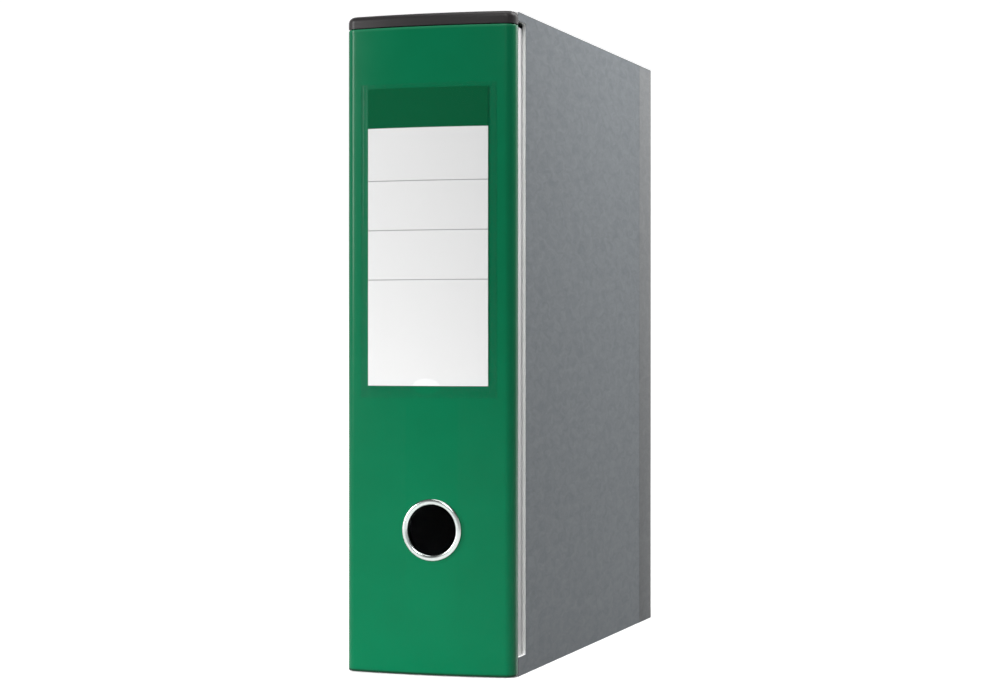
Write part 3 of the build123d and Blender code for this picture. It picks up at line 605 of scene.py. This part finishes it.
pocket_film = make_piece("label_pocket_film", sweep_section(
    spread(pocket_low.x, pocket_high.x, 40, SEAM + SEAM_RISE), film_section), film)
thumb_at = Vector((0, pocket_low.y, pocket_low.z + SILL))
carve(pocket_film, bar_along_y(THUMB_ACROSS / 2, THUMB_DEEP / 2, thumb_at, 0.02))
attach(pocket_film, "file")
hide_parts("label_pocket")

# ---- Finger ring and washer ----
# Bright chrome on a rolled steel eyelet: a rounded bead in front, a sleeve through the spine, and
# its tail clinched over a nickel-plated washer inside. The plating is smooth, with a slight haze.
RING_BORE = 13.3 * MM
BEAD_RISE = 1.2 * MM
SEAT = 1.3 * MM              # how far the bead's skirt reaches back to the bowed foil
HAZE = 4.0 * MM
ring_outer = (ring_high.x - ring_low.x) / 2
bead = (ring_outer - RING_BORE) / 2
chrome, place = new_finish("bright_chrome_plated_steel")
haze = add_node(chrome, "ShaderNodeTexNoise", {"Vector": place, "Scale": 1 / HAZE, "Detail": 3.0})
haze_share = add_node(chrome, "ShaderNodeMapRange", {"Value": haze.outputs["Fac"], "To Min": 0.14,
                                                     "To Max": 0.24})
show(chrome, Base_Color=linear("BCC3C0"), Metallic=1.0, Roughness=haze_share.outputs["Result"])
ring_front = ring_low.y
ring_profile = [(ring_outer, ring_front + BEAD_RISE + SEAT)]
for step in range(17):
    turn = math.radians(180) * step / 16
    ring_profile.append((RING_BORE + bead + bead * math.cos(turn),
                         ring_front + BEAD_RISE * (1 - math.sin(turn))))
ring_profile += [(RING_BORE, ring_high.y - 0.4 * MM), (RING_BORE + 0.4 * MM, ring_high.y),
                 (RING_BORE + 0.8 * MM, ring_high.y - 0.3 * MM),
                 (RING_BORE + 0.8 * MM, ring_front + BEAD_RISE + SEAT),
                 (ring_outer, ring_front + BEAD_RISE + SEAT)]
ring_mesh = spin_profile(ring_profile, 128)
for vert in ring_mesh.verts:
    x, z, y = vert.co
    vert.co = (ring_at.x + x, y, ring_at.z + z)
eyelet = make_piece("finger_ring_eyelet", ring_mesh, chrome)
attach(eyelet, "file")
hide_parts("finger_ring")

# ---- Covers ----
# Board covers wrapped in smooth white paper, lined inside, and hinged to the spine with woven
# book cloth. The paper's folds round the fore edge are soft.
COVER_FOLD = 0.6 * MM
FUZZ = 1.2 * MM
cover_paper, place = new_finish("smooth_white_cover_paper")
fuzz = add_node(cover_paper, "ShaderNodeTexNoise", {"Vector": place, "Scale": 1 / FUZZ,
                                                    "Detail": 4.0})
fuzz_tint = add_node(cover_paper, "ShaderNodeMix", {0: fuzz.outputs["Fac"], 6: linear("EDEEEE"),
                                                    7: linear("F9F9F9")}, data_type="RGBA")
fuzz_bump = add_node(cover_paper, "ShaderNodeBump", {"Height": fuzz.outputs["Fac"], "Strength": 0.3,
                                                     "Distance": 0.03 * MM})
show(cover_paper, Base_Color=fuzz_tint.outputs[2], Roughness=0.6, Specular_IOR_Level=0.35,
     Normal=fuzz_bump.outputs["Normal"])
for cover in ("front_cover", "back_cover"):
    paper_low, paper_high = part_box(cover + "_paper")
    board_low, board_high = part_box(cover + "_board")
    outward = 1 if paper_low.x > 0 else -1
    slab = bmesh.new()
    add_block(slab, paper_low, paper_high)
    lined_x = paper_low.x if outward > 0 else paper_high.x
    folds = [e for e in slab.edges if any(abs(v.co.x - lined_x) > MM for v in e.verts)
             and any(v.co.y > 0 for v in e.verts)]
    bmesh.ops.bevel(slab, geom=folds, offset=COVER_FOLD, segments=4, affect="EDGES", profile=0.5,
                    clamp_overlap=True)
    wrap = make_piece(cover + "_paper_wrap", slab, cover_paper)
    hollow = bmesh.new()
    inner_x = sorted((lined_x - outward * MM, board_high.x if outward > 0 else board_low.x))
    add_block(hollow, (inner_x[0], paper_low.y - MM, board_low.z),
              (inner_x[1], board_high.y, board_high.z))
    carve(wrap, hollow)
    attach(wrap, "file")
    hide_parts(cover + "_paper")

THREAD = 0.7 * MM            # coarser than the real 0.4 mm yarn, so that it shows
book_cloth, place = new_finish("woven_black_book_cloth")
axes = add_node(book_cloth, "ShaderNodeSeparateXYZ", {"Vector": place}).outputs
across = add_node(book_cloth, "ShaderNodeMath", {0: axes["X"], 1: axes["Y"]}, operation="ADD")
yarns = []
for run in (across.outputs["Value"], axes["Z"]):
    turns = add_node(book_cloth, "ShaderNodeMath", {0: run, 1: math.pi / THREAD}, operation="MULTIPLY")
    yarns.append(add_node(book_cloth, "ShaderNodeMath", {0: turns.outputs["Value"]}, operation="SINE"))
cloth_weave = add_node(book_cloth, "ShaderNodeMath", {
    0: yarns[0].outputs["Value"], 1: yarns[1].outputs["Value"]}, operation="MULTIPLY")
cloth_tint = add_node(book_cloth, "ShaderNodeMix", {0: cloth_weave.outputs["Value"], 6: linear("1C1D1E"),
                                                    7: linear("34373A")}, data_type="RGBA")
cloth_bump = add_node(book_cloth, "ShaderNodeBump", {"Height": cloth_weave.outputs["Value"],
                                                     "Strength": 0.6, "Distance": 0.08 * MM})
show(book_cloth, Base_Color=cloth_tint.outputs[2], Roughness=0.85, Sheen_Weight=0.2,
     Normal=cloth_bump.outputs["Normal"])
dress(book_cloth, "front_hinge", "back_hinge")

# ---- Base plate, bracket and fixings ----
# Pressed steel, barrel plated in nickel: a warm white metal with a soft, slightly uneven shine and
# the faint grain of the rolled strip.
ROLLED_GRAIN = 0.5 * MM
TARNISH = 11.0 * MM
nickel, place = new_finish("nickel_plated_pressed_steel")
strip = add_node(nickel, "ShaderNodeTexNoise", {"Vector": stretched(nickel, place, (1, 1, 0.08)),
                                                "Scale": 1 / ROLLED_GRAIN, "Detail": 3.0})
tarnish = add_node(nickel, "ShaderNodeTexNoise", {"Vector": place, "Scale": 1 / TARNISH,
                                                  "Detail": 3.0})
nickel_tint = add_node(nickel, "ShaderNodeMix", {0: tarnish.outputs["Fac"], 6: linear("BDBAB3"),
                                                 7: linear("D3D1CB")}, data_type="RGBA")
nickel_rough = add_node(nickel, "ShaderNodeMapRange", {"Value": strip.outputs["Fac"], "To Min": 0.2,
                                                       "To Max": 0.38})
strip_bump = add_node(nickel, "ShaderNodeBump", {"Height": strip.outputs["Fac"], "Strength": 0.25,
                                                 "Distance": 0.02 * MM})
show(nickel, Base_Color=nickel_tint.outputs[2], Metallic=1.0, Roughness=nickel_rough.outputs["Result"],
     Normal=strip_bump.outputs["Normal"])
dress(nickel, "ring_washer", "base_plate", "rivets", "posts", "arch_bearings", "lever_bracket",
      "lever_pin", "lever_arm", "roller_pin", "roller", "compressor_bar")

# ---- Arch wire ----
# One length of 4 mm drawn steel wire, bent to both arches and their crank, and nickel plated. The
# die leaves fine lines along it.
DIE_LINE = 0.7 * MM
drawn, place = new_finish("drawn_steel_wire_nickel_plated")
lines = add_node(drawn, "ShaderNodeTexNoise", {"Vector": place, "Scale": 1 / DIE_LINE, "Detail": 2.0})
drawn_rough = add_node(drawn, "ShaderNodeMapRange", {"Value": lines.outputs["Fac"], "To Min": 0.12,
                                                     "To Max": 0.26})
show(drawn, Base_Color=linear("D2D1CC"), Metallic=1.0, Roughness=drawn_rough.outputs["Result"])
dress(drawn, "arch_wire")

# ---- Leaf spring ----
# Hardened spring strip, blued by its tempering heat and pressed over the plate. The heat leaves it
# clouded from straw-brown to slate blue, with an oily shine.
HEAT_CLOUD = 6.0 * MM
blued, place = new_finish("blued_spring_steel_strip")
heat = add_node(blued, "ShaderNodeTexNoise", {"Vector": place, "Scale": 1 / HEAT_CLOUD, "Detail": 3.0})
heat_tint = add_node(blued, "ShaderNodeMix", {0: heat.outputs["Fac"], 6: linear("4A4A55"),
                                              7: linear("7A6E5E")}, data_type="RGBA")
show(blued, Base_Color=heat_tint.outputs[2], Metallic=1.0, Roughness=0.3)
dress(blued, "leaf_spring")
